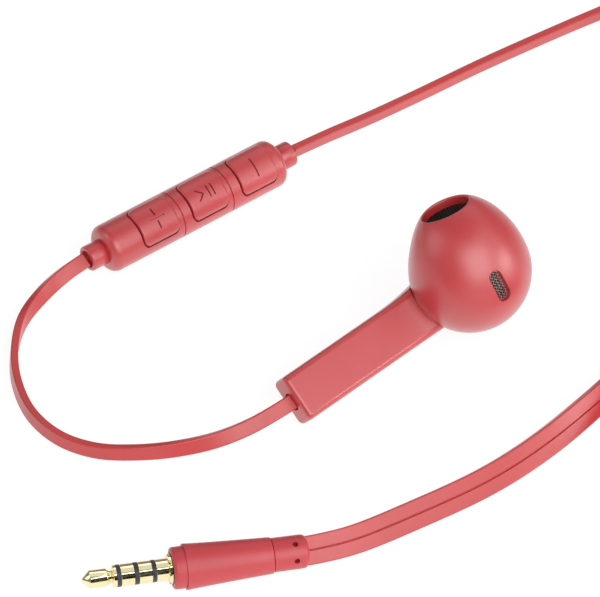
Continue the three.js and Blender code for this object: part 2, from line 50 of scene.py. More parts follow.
def add_object(name, data):
    """A new object, linked to the scene."""
    thing = bpy.data.objects.new(name, data)
    bpy.context.scene.collection.objects.link(thing)
    return thing


# ------ dimensions
# In millimetres. They follow the CAD, but the nozzle's opening, the vent's depth and slant, the gland, the
# caps' corners and places and the collar's mouth are a little apart from it. The grooves are only here.

GAP = 0.1
HEAD = {"radius": 10, "back": 10, "long": 12.84, "short": 12.1, "rim": 11.4, "hollow": 7.2, "wall": 1.4}
HEAD_CENTRE = Vector((-1.4, 36.8, 6.3))
NOZZLE_AXIS = Vector((-0.888, -0.072, 0.464)).normalized()
NOZZLE_LONG_WAY = Vector((0.155, 0.892, 0.419))
NOZZLE = {"long": 4, "short": 2.75, "depth": 1.5, "ledge": 0.6}
NOZZLE_OPENING = 0.2
NOZZLE_WEAVE = {"pitch": 0.36, "wire": 0.13}
VENT = {"length": 5.8, "width": 2.3, "depth": 1.25, "ledge": 0.4, "turn": 15, "slant": 5}
VENT_WEAVE = {"pitch": 0.42, "wire": 0.115}
STEM = {"width": 8, "thick": 4.4, "edge": 1, "straight": 21, "length": 34}
NECK = {"width": 10, "thick": 7.6, "corner": 3.4, "shift_x": -0.9, "shift_z": 1.6, "curve": 2.6}
EARBUD_TURN = {"yaw": -46.1, "roll": 36.9}
STEM_END = {"right": Vector((-1.3, -27.2, 4.085)), "left": Vector((128.7, 37.9, 4.085))}

RIBBON = {"width": 2.5, "thick": 1.25, "double": False}
DOUBLE_RIBBON = {"width": 4.6, "thick": 1.25, "double": True}
GLAND = {"width": 2.9, "thick": 1.65, "corner": 0.65, "depth": 5}

REMOTE = {"radius": 4.05, "length": 35.2, "edge": 1.5, "bore": 3, "end_bore": 1.6, "end_wall": 1.4}
REMOTE_CENTRE = Vector((-18, 17.3, 4.07))
REMOTE_TURN = {"yaw": 37.2, "roll": 31}
GROOVES = {"at": (-3.7, 6.1), "width": 0.2, "depth": 0.2}
BUTTON = {"first": -8.3, "pitch": 9.9, "length": 7, "half": 3.3, "proud": 0.35, "low": 1.9, "corner": 1.0}
BUTTON_NAMES = ("volume_up", "play_pause", "volume_down")
BUTTON_GAP = 0.15
CAP_SHIFT = (0.09, 0.06)
COLLAR = {"radius": 2.15, "length": 3, "mouth": 1.5, "depth": 1.0}

PIN = {"radius": 1.75, "core": 0.5, "bore": 0.6, "shank": 9}
PLUG_SHOULDER = Vector((-19.8, -62.4, 3.66))
PLUG_TURN = {"yaw": 12.4, "pitch": 2.4, "roll": 45}
PLUG_BODY = {"front": 3.3, "collar": 2, "grip_end": 15.8, "end": 21.4, "rear": 2.65, "across": 3.63}

SPLITTER = {"length": 14, "height": 6.4, "thick": 3.6, "wall": 0.9, "edge": 1}
SPLITTER_CENTRE = Vector((108.7, -5.2, 3.22))
TIE = {"thick": 0.4, "width": 3}
EYE_MARGIN = 1
COIL_FLOOR = TIE["thick"] + GAP
COILS = {
    "main": {"centre": (81, -27.5), "core": 18.4, "spacing": 2, "enter": 140, "turned": 715, "leave": 0},
    "right": {"centre": (67.5, 58.4), "core": 10, "spacing": 1.8, "enter": 105, "turned": 360, "leave": 240},
    "left": {"centre": (127.5, 13.2), "core": 10, "spacing": 1.8, "enter": 180, "turned": 770, "leave": 46},
}

# ------ camera

camera_data = bpy.data.cameras.new("camera")
camera_data.lens = 372
camera_data.sensor_width = 36
camera_data.clip_start = 0.01
camera = add_object("camera", camera_data)
VIEW_ELEVATION = rad(45)
VIEW_DISTANCE = 1.0
target = -ORIGIN * MM
camera.location = target + VIEW_DISTANCE * Vector((0, -cos(VIEW_ELEVATION), sin(VIEW_ELEVATION)))
camera.rotation_euler = (pi / 2 - VIEW_ELEVATION, 0, 0)
bpy.context.scene.camera = camera

# ------ placing


def turn(axis, degrees):
    return Matrix.Rotation(rad(degrees), 4, axis)


def shift(x, y=0, z=0):
    return Matrix.Translation((x, y, z))


def placed_at(point, rotation):
    """The matrix, in metres, of a local frame whose origin is a layout point in millimetres."""
    return Matrix.Translation((point - ORIGIN) * MM) @ rotation


MIRROR = Matrix.Diagonal((-1, 1, 1, 1))
earbud_rotation = turn("Z", EARBUD_TURN["yaw"]) @ turn("Y", EARBUD_TURN["roll"])
head_x = (NOZZLE_LONG_WAY - NOZZLE_LONG_WAY.dot(NOZZLE_AXIS) * NOZZLE_AXIS).normalized()
head_z = head_x.cross(NOZZLE_AXIS)
head_rotation = Matrix((head_x, NOZZLE_AXIS, head_z)).transposed().to_4x4()
HEAD_IN_EARBUD = Matrix.Translation(HEAD_CENTRE) @ head_rotation
VENT_IN_HEAD = turn("Y", VENT["turn"]) @ turn("Z", VENT["slant"])
REMOTE_PLACE = placed_at(REMOTE_CENTRE, turn("Z", REMOTE_TURN["yaw"]) @ turn("X", REMOTE_TURN["roll"]))
PLUG_PLACE = placed_at(
    PLUG_SHOULDER, turn("Z", PLUG_TURN["yaw"]) @ turn("Y", PLUG_TURN["pitch"]) @ turn("X", PLUG_TURN["roll"])
)
SPLITTER_PLACE = placed_at(SPLITTER_CENTRE, Matrix.Identity(4))
LAYOUT_PLACE = placed_at(Vector((0, 0, 0)), Matrix.Identity(4))


def earbud_place(side):
    """The left earbud is the right one's mirror image, so its meshes are mirrored in their own frame."""
    if side == "right":
        return placed_at(STEM_END["right"], earbud_rotation)
    return placed_at(STEM_END["left"], MIRROR @ earbud_rotation @ MIRROR)


# ------ meshes


class Shape:
    """Points in millimetres and faces, each face with its material's number."""

    def __init__(self, points=(), faces=(), kinds=()):
        self.points = list(points)
        self.faces = list(faces)
        self.kinds = list(kinds)

    def merged(self, other):
        first = len(self.points)
        self.points.extend(other.points)
        self.faces.extend(tuple(first + i for i in face) for face in other.faces)
        self.kinds.extend(other.kinds)
        return self

    def moved(self, matrix):
        self.points = [tuple(matrix @ Vector(p)) for p in self.points]
        if matrix.determinant() < 0:
            self.faces = [tuple(reversed(face)) for face in self.faces]
        return self

    def copy(self):
        return Shape(self.points, self.faces, self.kinds)

    def mesh(self, name):
        mesh = bpy.data.meshes.new(name)
        mesh.from_pydata(self.points, [], self.faces)
        mesh.polygons.foreach_set("material_index", self.kinds)
        mesh.update()
        return mesh


def grid(rings, closed_ends=True, loop=False, kind=0):
    """Rings of points skinned one to the next: closed by a flat face at each end, or onto the first ring."""
    count = len(rings[0])
    points = [tuple(p) for ring in rings for p in ring]
    faces = []
    total = len(rings)
    for i in range(total if loop else total - 1):
        a = i * count
        b = ((i + 1) % total) * count
        for j in range(count):
            k = (j + 1) % count
            faces.append((a + j, a + k, b + k, b + j))
    if closed_ends and not loop:
        faces.append(tuple(reversed(range(count))))
        last = (total - 1) * count
        faces.append(tuple(range(last, last + count)))
    return Shape(points, faces, [kind] * len(faces))


def circle_points(count):
    """Even angles once round a circle, in radians."""
    return [2 * pi * i / count for i in range(count)]


def revolve(profile, count=96):
    """A turned part about +X from its [x, radius] outline. It closes on the axis, or on itself as a tube."""
    tube = min(r for _, r in profile) > 1e-6
    rings = []
    for x, r in profile:
        radius = max(r, 1e-4)
        rings.append([(x, radius * cos(a), radius * sin(a)) for a in circle_points(count)])
    return grid(rings, closed_ends=not tube, loop=tube)


def arc(centre, radius, start, end, steps):
    """Points of an arc in an outline's plane, the angles in degrees."""
    x, y = centre
    found = []
    for i in range(steps + 1):
        a = rad(start + (end - start) * i / steps)
        found.append((x + radius * cos(a), y + radius * sin(a)))
    return found


def quarter_round(size, steps):
    """A rounded edge of that size as [along, inwards] steps, both measured from the sharp corner."""
    angles = [rad(90 * i / steps) for i in range(steps + 1)]
    return [(size * (1 - cos(a)), size * (1 - sin(a))) for a in angles]


def bar_outline(width, thick, corner, steps=6, sides=0):
    """A rounded rectangle round the origin, counter-clockwise, with extra points along its sides."""
    x = width / 2 - corner
    y = thick / 2 - corner
    centres = ((x, y), (-x, y), (-x, -y), (x, -y))
    arcs = [arc(centre, corner, 90 * k, 90 * k + 90, steps) for k, centre in enumerate(centres)]
    found = []
    for k in range(4):
        found += arcs[k]
        (x0, y0), (x1, y1) = arcs[k][-1], arcs[(k + 1) % 4][0]
        for n in range(1, sides + 1):
            t = n / (sides + 1)
            found.append((x0 + (x1 - x0) * t, y0 + (y1 - y0) * t))
    return found


def rounded_plate(width, length, corner, low, high, edge=0.0, steps=6):
    """A rounded rectangle in the XY plane from z = low to high, its upper rim rounded by edge."""
    rings = [[(x, y, low) for x, y in bar_outline(width, length, corner, steps)]]
    for inset, drop in quarter_round(edge, 4) if edge else [(0, 0)]:
        outline = bar_outline(width - 2 * inset, length - 2 * inset, max(corner - inset, 0.02), steps)
        rings.append([(x, y, high - drop) for x, y in outline])
    return grid(rings)


def scratch_object(shape):
    """A linked object whose two empty material slots let its faces keep their kinds through a boolean."""
    thing = add_object("scratch", shape.mesh("scratch"))
    for _ in range(2):
        thing.data.materials.append(None)
    return thing


def cut(shape, *tools, operation="DIFFERENCE"):
    """The shape with the tools' volumes taken away, or kept only where the first tool is."""
    scratch = scratch_object(shape)
    cutters = [scratch_object(tool) for tool in tools]
    for cutter in cutters:
        modifier = scratch.modifiers.new("cut", "BOOLEAN")
        modifier.operation = operation
        modifier.solver = "EXACT"
        modifier.object = cutter
    bpy.context.view_layer.update()
    graph = bpy.context.evaluated_depsgraph_get()
    mesh = scratch.evaluated_get(graph).to_mesh()
    points = [tuple(v.co) for v in mesh.vertices]
    faces = [tuple(p.vertices) for p in mesh.polygons]
    result = Shape(points, faces, [p.material_index for p in mesh.polygons])
    for extra in [scratch, *cutters]:
        bpy.data.objects.remove(extra)
    return result


def make(name, shape, place, materials, slot, body=BODY, replaces=(), sharp=35, mirrored=False):
    """A finished piece: the shape in millimetres in its own frame, put in place and riding on its body."""
    local = shape.copy().moved(Matrix.Scale(MM, 4))
    if mirrored:
        local = local.moved(MIRROR)
    mesh = local.mesh(name)
    for material in materials if isinstance(materials, (list, tuple)) else [materials]:
        mesh.materials.append(material)
    mesh.shade_smooth()
    mesh.set_sharp_from_angle(angle=rad(sharp))
    piece = add_object(name, mesh)
    piece.matrix_world = place
    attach(piece, body)
    if replaces:
        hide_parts(*replaces)
    return piece


# ------ materials


class Nodes:
    """A material's node tree, with short ways to add what the finishes below share."""

    def __init__(self, name):
        self.material = bpy.data.materials.new(name)
        self.material.use_nodes = True
        self.tree = self.material.node_tree
        self.shader = self.tree.nodes["Principled BSDF"]
        self.coordinates = self.new("ShaderNodeTexCoord").outputs["Object"]

    def new(self, kind):
        return self.tree.nodes.new(kind)

    def link(self, source, target):
        self.tree.links.new(source, target)

    def noise(self, size_mm, detail=3, stretch=(1, 1, 1)):
        """Noise whose lumps are about size_mm across, stretched along the piece's own axes."""
        mapping = self.new("ShaderNodeMapping")
        mapping.inputs["Scale"].default_value = [1000 / (size_mm * s) for s in stretch]
        self.link(self.coordinates, mapping.inputs["Vector"])
        noise = self.new("ShaderNodeTexNoise")
        noise.inputs["Scale"].default_value = 1
        noise.inputs["Detail"].default_value = detail
        self.link(mapping.outputs["Vector"], noise.inputs["Vector"])
        return noise.outputs["Fac"]

    def span(self, value, low, high):
        ranged = self.new("ShaderNodeMapRange")
        for socket, number in (("From Min", 0.3), ("From Max", 0.7), ("To Min", low), ("To Max", high)):
            ranged.inputs[socket].default_value = number
        self.link(value, ranged.inputs["Value"])
        return ranged.outputs["Result"]

    def colours(self, value, first, second):
        mix = self.new("ShaderNodeMix")
        mix.data_type = "RGBA"
        mix.inputs["A"].default_value = (*first, 1)
        mix.inputs["B"].default_value = (*second, 1)
        self.link(value, mix.inputs["Factor"])
        self.link(mix.outputs["Result"], self.shader.inputs["Base Color"])

    def roughness(self, value, low, high):
        self.link(self.span(value, low, high), self.shader.inputs["Roughness"])

    def bump(self, value, height_mm):
        bump = self.new("ShaderNodeBump")
        bump.inputs["Distance"].default_value = height_mm * MM
        self.link(value, bump.inputs["Height"])
        self.link(bump.outputs["Normal"], self.shader.inputs["Normal"])


def srgb(red, green, blue):
    """A colour given as it looks on a screen, 0 to 255, as the linear values a shader takes."""
    linear = []
    for value in (red, green, blue):
        v = value / 255
        linear.append(v / 12.92 if v <= 0.04045 else ((v + 0.055) / 1.055) ** 2.4)
    return tuple(linear)


def moulded(name, light, dark, rough, bump_mm=0.004, grain=0.22, patch=9, gloss=0.5, coat=0.0):
    """Moulded plastic or rubber: soft patches of tone, a fine spark-eroded grain and its uneven gloss."""
    nodes = Nodes(name)
    nodes.shader.inputs["Specular IOR Level"].default_value = gloss
    nodes.shader.inputs["Coat Weight"].default_value = coat
    nodes.shader.inputs["Coat Roughness"].default_value = rough
    nodes.shader.inputs["Coat IOR"].default_value = 1.5
    nodes.colours(nodes.span(nodes.noise(patch, 2), 0, 1), srgb(*dark), srgb(*light))
    nodes.roughness(nodes.noise(2.5, 4), rough - 0.035, rough + 0.035)
    nodes.bump(nodes.noise(grain, 2), bump_mm)
    return nodes.material


def metal(name, light, dark, rough, stretch, bump_mm=0.002):
    """Turned or plated metal: fine marks stretched along the tool's way."""
    nodes = Nodes(name)
    nodes.shader.inputs["Metallic"].default_value = 1
    nodes.colours(nodes.span(nodes.noise(1.5, 3), 0, 1), srgb(*dark), srgb(*light))
    nodes.roughness(nodes.noise(0.6, 4, stretch), rough - 0.04, rough + 0.04)
    nodes.bump(nodes.noise(0.3, 3, stretch), bump_mm)
    return nodes.material


coral = moulded("coral_plastic", (196, 46, 51), (191, 43, 48), 0.4, 0.002, gloss=0.8, coat=1.0)
coral_glossy = moulded("coral_glossy", (196, 46, 51), (191, 43, 48), 0.38, 0.002, gloss=0.8, coat=1.0)
coral_matte = moulded("coral_matte", (198, 52, 60), (192, 48, 56), 0.5, 0.002, gloss=0.7, coat=0.5)
# Painted shade: a darker coral for the faces of the signs cut into the caps. It stands in for the shade
# inside their grooves, since the caps are one colour.
coral_painted_shade = moulded("coral_shadow", (146, 34, 40), (136, 30, 36), 0.55)
coral_soft = moulded("coral_cable", (197, 52, 53), (191, 47, 49), 0.38, 0.003, 0.3, 14, gloss=0.6, coat=0.5)
dark_rubber = moulded("dark_rubber", (128, 32, 38), (116, 27, 33), 0.75)
black = moulded("black_plastic", (38, 38, 42), (30, 30, 34), 0.45)
insulator = moulded("plug_insulator_plastic", (62, 62, 66), (52, 52, 57), 0.4)
board = moulded("board", (30, 88, 52), (24, 76, 46), 0.5)
film = moulded("film", (216, 212, 200), (204, 200, 190), 0.3)
foam = moulded("foam", (26, 25, 27), (18, 17, 19), 0.95, 0.05, 0.5)
gold = metal("gold", (250, 240, 196), (242, 230, 180), 0.09, (4, 1, 1), 0.0008)
steel = metal("steel", (176, 172, 166), (158, 154, 150), 0.35, (3, 1, 1))
dark_steel = metal("steel_mesh_dark", (92, 82, 80), (74, 66, 64), 0.42, (3, 1, 1))
bright_steel = metal("steel_mesh", (228, 225, 218), (206, 203, 196), 0.32, (3, 1, 1))
copper = metal("copper", (190, 116, 74), (172, 100, 62), 0.3, (1, 4, 1))

# ------ cables


def coil_arms(coil):
    inner = coil["enter"] - coil["turned"]
    around = coil["leave"] - inner - 180
    second = around + 360 * round((coil["turned"] - around) / 360)
    return inner, coil["turned"], second


def coil_radius(coil, turned):
    return coil["core"] + coil["spacing"] * turned / 180


def coil_point(coil, angle, radius, height):
    x, y = coil["centre"]
    return (x + radius * cos(rad(angle)), y + radius * sin(rad(angle)), height)


def coil_route(coil, cable, step=10):
    """One spiral in, an S bend through the middle, and one spiral out between the first one's turns."""
    inner, first, second = coil_arms(coil)
    height = COIL_FLOOR + cable["width"] / 2
    core = coil["core"]
    route = []
    for i in range(round(first / step) + 1):
        turned = first * i / round(first / step)
        route.append(coil_point(coil, coil["enter"] - turned, coil_radius(coil, first - turned), height))
    for way in (1, -1):
        x, y, _ = coil_point(coil, inner, way * core / 2, height)
        for i in range(1, 10):
            a = inner - way * 20 * i
            route.append((x + core / 2 * cos(rad(a)), y + core / 2 * sin(rad(a)), height))
    for i in range(round(second / step) + 1):
        turned = second * i / round(second / step)
        route.append(coil_point(coil, inner + 180 + turned, coil_radius(coil, turned), height))
    kept = [route[0]]
    for p in route[1:]:
        if dist(p, kept[-1]) > 0.3:
            kept.append(p)
    return kept


SPLITTER_NOSE = SPLITTER_CENTRE.y + SPLITTER["length"] / 2 + 0.3
SPLITTER_TAIL = SPLITTER_CENTRE.y - SPLITTER["length"] / 2 - 0.3
BRANCH_RISE = RIBBON["width"] / 2 + 0.05
UPPER_BRANCH = SPLITTER_CENTRE.z + BRANCH_RISE
LOWER_BRANCH = SPLITTER_CENTRE.z - BRANCH_RISE

LOOP_ROUTE = [
    (-0.85, -26.75, 4.09), (-1.9, -27.7, 4.05), (-4, -29.1, 3.6), (-8, -31, 2.4), (-13.5, -33.1, 1.5),
    (-19.9, -34.8, 1.3), (-26, -35.5, 1.3), (-32, -35.1, 1.3), (-37.6, -32.6, 1.3), (-42.2, -27.6, 1.3),
    (-44.9, -20.6, 1.3), (-45.6, -13.4, 1.3), (-44.4, -6.3, 1.5), (-41.2, -1.1, 2.35), (-37.9, 2.1, 3.4),
    (-34.65, 4.65, 4.05),
]
RIGHT_RUN = [
    (-1.35, 29.95, 4.05), (4.5, 34.7, 3.2), (11.5, 40.4, 1.9), (19.5, 46.4, 1.3), (30, 53.7, 1.3),
    (40, 60.2, 1.3), (49, 65.8, 1.3), (56.5, 69.8, 1.5),
]
RIGHT_LEAD = [
    (72, 37.8, 1.42), (82, 31.2, 1.38), (92, 23.8, 1.35), (100.6, 15.8, 2.6), (105.8, 9.2, 4.2),
    (108.2, 4.8, 4.55), (108.7, SPLITTER_NOSE, UPPER_BRANCH),
]
LEFT_LEAD = [(108.7, SPLITTER_NOSE, LOWER_BRANCH), (108.9, 6, 1.85)]
LEFT_END = [(136.2, 29.6, 2.2), (132.4, 33.7, 3.4), (129.3, 37.25, 4.05), (128.3, 38.3, 4.09)]
MAIN_RUN = [
    (0.4, -57.98, 2.79), (1.45, -57.7, 2.7), (8, -55.3, 2.4), (17.8, -49.9, 2.35), (29.3, -42.6, 2.35),
    (38, -35.1, 2.35), (46.4, -25.9, 2.35), (53.4, -17.4, 2.4),
]
MAIN_LEAD = [(108.8, -19.8, 3), (108.7, SPLITTER_TAIL, SPLITTER_CENTRE.z)]


def smooth_line(points, spacing=0.9):
    """A centripetal Catmull-Rom curve through the points, at about even spacing."""
    p = [np.array(q, float) for q in points]
    p = [2 * p[0] - p[1], *p, 2 * p[-1] - p[-2]]
    line = []
    for i in range(1, len(p) - 2):
        d0, d1, d2 = (sqrt(np.linalg.norm(p[j + 1] - p[j])) for j in (i - 1, i, i + 1))
        m1 = (p[i] - p[i - 1]) / d0 - (p[i + 1] - p[i - 1]) / (d0 + d1) + (p[i + 1] - p[i]) / d1
        m2 = (p[i + 1] - p[i]) / d1 - (p[i + 2] - p[i]) / (d1 + d2) + (p[i + 2] - p[i + 1]) / d2
        m1, m2 = m1 * d1, m2 * d1
        count = max(1, round(float(np.linalg.norm(p[i + 1] - p[i])) / spacing))
        for k in range(count):
            t = k / count
            line.append(
                (2 * t**3 - 3 * t**2 + 1) * p[i] + (t**3 - 2 * t**2 + t) * m1
                + (3 * t**2 - 2 * t**3) * p[i + 1] + (t**3 - t**2) * m2
            )
    line.append(p[-2])
    return np.array(line)


def ribbon_section(cable):
    """The flat cable's outline: u across its width and v through its thickness, a groove in a joined pair."""
    w, t = cable["width"] / 2, cable["thick"] / 2
    corner, support = 0.2, 0.12
    flat_w, flat_t = w - corner, t - corner
    outline = []
    for su, sv in ((1, 1), (1, -1), (-1, -1), (-1, 1)):
        bend = [(su * (flat_w - support), sv * t)]
        for k in range(4):
            a = rad(30 * k)
            bend.append((su * (flat_w + corner * sin(a)), sv * (flat_t + corner * cos(a))))
        bend.append((su * w, sv * (flat_t - support)))
        outline += bend if su * sv > 0 else bend[::-1]
    if not cable["double"]:
        return outline
    groove, depth = 0.16, 0.3
    wall = [(groove + 0.3, 0), (groove + 0.12, 0), (groove, 0), (groove - 0.02, 0.03), (0.03, depth)]
    upper = [(u, t - down) for u, down in wall] + [(-u, t - down) for u, down in reversed(wall)]
    lower = [(-u, -v) for u, v in upper]
    whole = []
    for (u0, v0), (u1, v1) in zip(outline, outline[1:] + outline[:1]):
        whole.append((u0, v0))
        if u0 * u1 < 0:
            found = upper if v0 > 0 else lower
            whole += found if u0 * v0 > 0 else found[::-1]
    return whole


def ribbon(points, cable, rolls, from_end=False):
    """A ribbon swept along the points. rolls: [distance from the start, or back from the end; roll in
    degrees] from on edge, leaning to the right of travel."""
    line = smooth_line(points)
    steps = np.linalg.norm(np.diff(line, axis=0), axis=1)
    distance = np.concatenate([[0], np.cumsum(steps)])
    at, roll = zip(*rolls)
    if from_end:
        at = [distance[-1] - back for back in at]
    lean = np.interp(distance, at, roll)
    soft = np.ones(9) / 9
    lean = np.convolve(np.pad(lean, 4, mode="edge"), soft, mode="valid")
    section = ribbon_section(cable)
    tangents = np.gradient(line, axis=0)
    rings = []
    for p, tangent, angle in zip(line, tangents, lean):
        t = Vector(tangent).normalized()
        up = (Vector((0, 0, 1)) - t.z * t).normalized()
        side = t.cross(up)
        u = cos(rad(angle)) * up + sin(rad(angle)) * side
        v = t.cross(u)
        rings.append([tuple(Vector(p) + a * u + b * v) for a, b in section])
    path = [tuple((Vector(p) - ORIGIN) * MM) for p in line]
    return grid(rings), path, float(distance[-1]) * MM


CABLES = {
    "loop_cord": {
        "route": LOOP_ROUTE,
        "cable": RIBBON,
        "rolls": [
            (0, 53), (6, 50), (15, 30), (26, 10), (40, 4), (55, 9), (64, 4), (72, -18), (79, -48), (86, -64),
        ],
        "replaces": ["loop_cable"],
    },
    "right_branch_cord": {
        "route": [*RIGHT_RUN, *coil_route(COILS["right"], RIBBON), *RIGHT_LEAD],
        "cable": RIBBON,
        "rolls": [(0, 14), (20, 12), (60, 12), (80, 0)],
        "replaces": ["right_cable_run", "right_cable_coil", "right_cable_lead"],
    },
    "left_branch_cord": {
        "route": [*LEFT_LEAD, *coil_route(COILS["left"], RIBBON), *LEFT_END][::-1],
        "cable": RIBBON,
        "rolls": [(0, 53), (6, 40), (16, 0)],
        "replaces": ["left_cable_end", "left_cable_coil", "left_cable_lead"],
    },
    "main_cord": {
        "route": [*MAIN_RUN, *coil_route(COILS["main"], DOUBLE_RIBBON), *MAIN_LEAD][::-1],
        "cable": DOUBLE_RIBBON,
        "rolls": [(100, 0), (84, 2), (66, 24), (48, 44), (0, 50)],
        "from_end": True,
        "replaces": ["main_cable_run", "main_cable_coil", "main_cable_lead"],
    },
}
for cord_name, spec in CABLES.items():
    cord_shape, cord_path, cord_length = ribbon(
        spec["route"], spec["cable"], spec["rolls"], spec.get("from_end", False)
    )
    cord_piece = make(
        cord_name, cord_shape, LAYOUT_PLACE, coral_soft, "coral_cable", replaces=spec["replaces"], sharp=50
    )

# ------ earbuds


def oval(y, rx, rz, count=128):
    return [(rx * cos(a), y, -rz * sin(a)) for a in circle_points(count)]


def egg_rings(grow, front, back_steps=36, front_steps=44):
    """The head's outer rings along the nozzle's axis, all moved out by grow."""
    radius = HEAD["radius"] + grow
    rings = []
    for i in range(back_steps):
        t = rad(-89.5 + 89.5 * i / back_steps)
        rings.append(((HEAD["back"] + grow) * sin(t), radius * cos(t), radius * cos(t)))
    for i in range(front_steps + 1):
        y = front * sin(rad(81) * i / front_steps) / sin(rad(81))
        rx = radius * sqrt(1 - (y / (HEAD["long"] + grow)) ** 2)
        rz = radius * sqrt(1 - (y / (HEAD["short"] + grow)) ** 2)
        rings.append((y, rx, rz))
    return rings


def vent_plate(width, length, low, high):
    return rounded_plate(width, length, width / 2 - 0.01, low, high, steps=12).moved(VENT_IN_HEAD)


EARBUD_AXES = (earbud_rotation @ head_rotation).inverted()
NOZZLE_LEAN = EARBUD_AXES @ Vector((-0.16, 0.28, 0.28))
FLAT_SIDE = (EARBUD_AXES @ Vector((-0.96, 0.16, 0.16))).normalized()


def lean_nozzle(shape):
    """The front of the head leans a little to one side, and the flank under the nozzle is slightly flat."""
    for n, p in enumerate(shape.points):
        q = Vector(p)
        front = min(max(q.y / HEAD["rim"], 0), 1)
        flank = max(0, q.dot(FLAT_SIDE) / HEAD["radius"])
        shape.points[n] = tuple(q + NOZZLE_LEAN * front**2 - FLAT_SIDE * 0.5 * flank**6)
    return shape


def head_shape():
    """The egg as a real shell: outside, rolled nozzle rim, recess with its ledge, and the inside."""
    long, short = NOZZLE["long"] + NOZZLE_OPENING, NOZZLE["short"] + NOZZLE_OPENING
    ledge = NOZZLE["ledge"]
    rim = HEAD["rim"]
    floor = rim - NOZZLE["depth"]
    rings = egg_rings(0, rim)
    for inset, drop in ((0.3, -0.03), (0.2, -0.03), (0.1, 0.01), (0.03, 0.08), (0.01, 0.17), (0, 0.28)):
        rings.append((rim - drop, long + inset, short + inset))
    rings += [(floor + 0.6, long, short), (floor, long, short)]
    rings += [(floor, long - ledge, short - ledge), (HEAD["hollow"], long - ledge, short - ledge)]
    inside = egg_rings(-HEAD["wall"], HEAD["hollow"], 20, 20)
    rings += reversed(inside)
    shell = lean_nozzle(grid([oval(*ring) for ring in rings]))
    radius = HEAD["radius"]
    vent_floor = radius - VENT["depth"]
    recess = vent_plate(VENT["width"], VENT["length"], vent_floor, radius + 2)
    margin = 2 * VENT["ledge"]
    hole = vent_plate(VENT["width"] - margin, VENT["length"] - margin, vent_floor - 2, vent_floor + 0.5)
    return cut(shell, recess, hole)


def stem_ring(y, width, thick, corner, cx=0.0, cz=0.0):
    return [Vector((cx + x, y, cz - z)) for x, z in bar_outline(width, thick, corner, 10)]


def neck_ring(y):
    """The stem's section at y: a plain bar as far as the straight part, then flaring towards the head."""
    t = max(0.0, (y - STEM["straight"]) / (STEM["length"] - STEM["straight"]))
    flare = t ** NECK["curve"]
    return stem_ring(
        y,
        STEM["width"] + (NECK["width"] - STEM["width"]) * flare,
        STEM["thick"] + (NECK["thick"] - STEM["thick"]) * flare,
        STEM["edge"] + (NECK["corner"] - STEM["edge"]) * flare,
        NECK["shift_x"] * flare,
        NECK["shift_z"] * flare,
    )


EARBUD_TO_HEAD = HEAD_IN_EARBUD.inverted()


def in_egg(point, grow):
    q = EARBUD_TO_HEAD @ point
    radius = HEAD["radius"] + grow
    if q.y <= 0:
        return (q.x**2 + q.z**2) / radius**2 + (q.y / (HEAD["back"] + grow)) ** 2 < 1
    rx = 1 - (q.y / (HEAD["long"] + grow)) ** 2
    rz = 1 - (q.y / (HEAD["short"] + grow)) ** 2
    return rx > 0 and rz > 0 and q.x**2 / rx + q.z**2 / rz < radius**2


def stem_shape():
    """The flat stem: rounded end, straight blade, and the neck that flares and ends round the head."""
    width, thick, edge = STEM["width"], STEM["thick"], STEM["edge"]
    rings = []
    for y, inset in quarter_round(0.75, 6):
        rings.append(stem_ring(y, width - 2 * inset, thick - 2 * inset, max(edge - inset, 0.3)))
    straight, past_head = STEM["straight"], STEM["length"] + 4
    shift_x, shift_z = NECK["shift_x"], NECK["shift_z"]
    fine = [neck_ring(straight + (past_head - straight) * i / 160) for i in range(161)]
    sunk = -0.04  # the neck ends this little inside the head's skin
    ends = []
    for j in range(len(fine[0])):
        meets = next((i for i, ring in enumerate(fine) if in_egg(ring[j], sunk)), len(fine) - 1)
        low, high = fine[max(meets - 1, 0)][j], fine[meets][j]
        for _ in range(12):
            middle = (low + high) / 2
            low, high = (low, middle) if in_egg(middle, sunk) else (middle, high)
        ends.append(low)
    steps = 44
    lip = 0.14
    rings.append(stem_ring(10, width, thick, edge))
    for i in range(steps + 1):
        stations = [straight + (end.y - lip - straight) * i / steps for end in ends]
        rings.append([neck_ring(y)[j] for j, y in enumerate(stations)])
    for inset, back in quarter_round(lip, 6)[1:]:
        ring = []
        for j, end in enumerate(ends):
            on_skin = neck_ring(end.y - back)[j]
            axis = Vector((shift_x, on_skin.y, shift_z))
            ring.append(on_skin + (axis - on_skin).normalized() * inset)
        rings.append(ring)
    rings.append([end + (Vector((shift_x, end.y, shift_z)) - end) * 0.25 for end in ends])
    inside_y = 24.0
    rings.append([
        Vector(((end.x - shift_x) * 0.6 + shift_x, inside_y, (end.z - shift_z) * 0.5)) for end in ends
    ])
    slot = rounded_plate(GLAND["width"] + GAP, GLAND["thick"] + GAP, 0.7, -1, GLAND["depth"], steps=8)
    return cut(grid(rings), slot.moved(turn("X", -90)))


def gland_shape():
    """The rubber insert in the stem's end, set back a little, with a hollowed front."""
    rings = []
    for y, grow in ((GLAND["depth"] - 0.1, 0), (0.6, 0), (0.5, -0.06), (0.5, -0.25), (0.9, -0.4)):
        width, thick = GLAND["width"] + 2 * grow, GLAND["thick"] + 2 * grow
        outline = bar_outline(width, thick, GLAND["corner"] + grow * 0.6, 8)
        rings.append([(x, y, z) for x, z in outline])
    return grid(rings)


